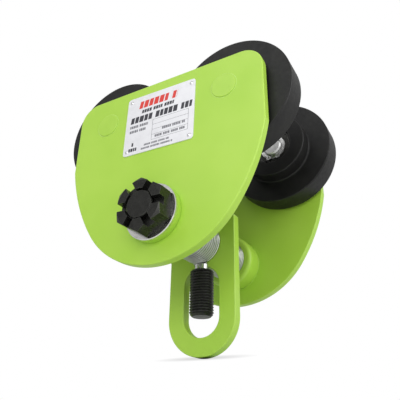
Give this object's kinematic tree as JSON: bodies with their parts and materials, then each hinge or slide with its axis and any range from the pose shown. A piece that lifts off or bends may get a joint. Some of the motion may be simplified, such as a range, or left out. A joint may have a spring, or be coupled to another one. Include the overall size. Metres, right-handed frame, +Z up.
{
  "type": "beam trolley",
  "caption": "Plain push trolley that runs on a beam's lower flange, with flanged wheels, two curved side plates and a slotted suspension plate.",
  "frame": {"origin": "on the load bolt's axis, in the middle plane of the suspension plate", "axes": "+X along the beam, +Y across the beam away from the castle nut, +Z up"},
  "size_m": [0.241, 0.2032, 0.269],
  "materials": {
    "green_paint": "gloss powder coat, lime green",
    "black_wheel": "satin black paint on turned iron",
    "black_steel": "black oxide",
    "zinc_steel": "bright zinc plate",
    "bearing_steel": "ground bearing steel",
    "cage_steel": "pressed steel",
    "clip_steel": "phosphated spring steel",
    "nameplate_aluminium": "anodised satin"
  },
  "bodies": {
    "frame": {"front_side_plate": "green_paint", "rear_side_plate": "green_paint", "front_plate_collar": "green_paint", "rear_plate_collar": "green_paint", "load_bolt": "black_steel", "castle_nut": "black_steel", "nut_washer": "zinc_steel", "head_washer": "zinc_steel", "front_spacer_washers": "zinc_steel", "rear_spacer_washers": "zinc_steel", "nameplate": "nameplate_aluminium", "nameplate_rivets": "nameplate_aluminium", "front_left_axle_pin": "green_paint", "front_left_axle_sleeve": "zinc_steel", "front_left_axle_circlip": "clip_steel", "front_left_inner_race": "bearing_steel", "front_right_axle_pin": "green_paint", "front_right_axle_sleeve": "zinc_steel", "front_right_axle_circlip": "clip_steel", "front_right_inner_race": "bearing_steel", "rear_left_axle_pin": "green_paint", "rear_left_axle_sleeve": "zinc_steel", "rear_left_axle_circlip": "clip_steel", "rear_left_inner_race": "bearing_steel", "rear_right_axle_pin": "green_paint", "rear_right_axle_sleeve": "zinc_steel", "rear_right_axle_circlip": "clip_steel", "rear_right_inner_race": "bearing_steel"},
    "suspension": {"suspension_plate": "green_paint"},
    "hanging_stud": {"eye_stud": "black_steel"},
    "front_left_wheel": {"front_left_wheel": "black_wheel", "front_left_outer_race": "bearing_steel", "front_left_bearing_shields": "bearing_steel", "front_left_wheel_circlip": "clip_steel"},
    "front_left_balls": {"front_left_bearing_balls": "bearing_steel", "front_left_ball_cage": "cage_steel"},
    "front_right_wheel": {"front_right_wheel": "black_wheel", "front_right_outer_race": "bearing_steel", "front_right_bearing_shields": "bearing_steel", "front_right_wheel_circlip": "clip_steel"},
    "front_right_balls": {"front_right_bearing_balls": "bearing_steel", "front_right_ball_cage": "cage_steel"},
    "rear_left_wheel": {"rear_left_wheel": "black_wheel", "rear_left_outer_race": "bearing_steel", "rear_left_bearing_shields": "bearing_steel", "rear_left_wheel_circlip": "clip_steel"},
    "rear_left_balls": {"rear_left_bearing_balls": "bearing_steel", "rear_left_ball_cage": "cage_steel"},
    "rear_right_wheel": {"rear_right_wheel": "black_wheel", "rear_right_outer_race": "bearing_steel", "rear_right_bearing_shields": "bearing_steel", "rear_right_wheel_circlip": "clip_steel"},
    "rear_right_balls": {"rear_right_bearing_balls": "bearing_steel", "rear_right_ball_cage": "cage_steel"}
  },
  "joints": [
    {"name": "suspension_swing", "type": "hinge", "parent": "frame", "child": "suspension", "pos_m": [0, 0, 0], "axis": [0, 1, 0], "range_deg": [-110, 110]},
    {"name": "stud_swing", "type": "hinge", "parent": "suspension", "child": "hanging_stud", "pos_m": [0, 0, 0], "axis": [0, 1, 0], "range_deg": [-2.5, 2.5]},
    {"name": "front_left_wheel_spin", "type": "hinge", "parent": "frame", "child": "front_left_wheel", "pos_m": [-0.0635, -0.0502, 0.109], "axis": [0, 1, 0], "continuous": true},
    {"name": "front_left_ball_roll", "type": "hinge", "parent": "frame", "child": "front_left_balls", "pos_m": [-0.0635, -0.0502, 0.109], "axis": [0, 1, 0], "continuous": true},
    {"name": "front_right_wheel_spin", "type": "hinge", "parent": "frame", "child": "front_right_wheel", "pos_m": [0.0635, -0.0502, 0.109], "axis": [0, 1, 0], "continuous": true},
    {"name": "front_right_ball_roll", "type": "hinge", "parent": "frame", "child": "front_right_balls", "pos_m": [0.0635, -0.0502, 0.109], "axis": [0, 1, 0], "continuous": true},
    {"name": "rear_left_wheel_spin", "type": "hinge", "parent": "frame", "child": "rear_left_wheel", "pos_m": [-0.0635, 0.0441, 0.109], "axis": [0, 1, 0], "continuous": true},
    {"name": "rear_left_ball_roll", "type": "hinge", "parent": "frame", "child": "rear_left_balls", "pos_m": [-0.0635, 0.0441, 0.109], "axis": [0, 1, 0], "continuous": true},
    {"name": "rear_right_wheel_spin", "type": "hinge", "parent": "frame", "child": "rear_right_wheel", "pos_m": [0.0635, 0.0441, 0.109], "axis": [0, 1, 0], "continuous": true},
    {"name": "rear_right_ball_roll", "type": "hinge", "parent": "frame", "child": "rear_right_balls", "pos_m": [0.0635, 0.0441, 0.109], "axis": [0, 1, 0], "continuous": true}
  ],
  "couplings": [
    {"joint": "front_left_ball_roll", "follows": "front_left_wheel_spin", "ratio": 0.6024},
    {"joint": "front_right_ball_roll", "follows": "front_right_wheel_spin", "ratio": 0.6024},
    {"joint": "rear_left_ball_roll", "follows": "rear_left_wheel_spin", "ratio": 0.6024},
    {"joint": "rear_right_ball_roll", "follows": "rear_right_wheel_spin", "ratio": 0.6024}
  ]
}
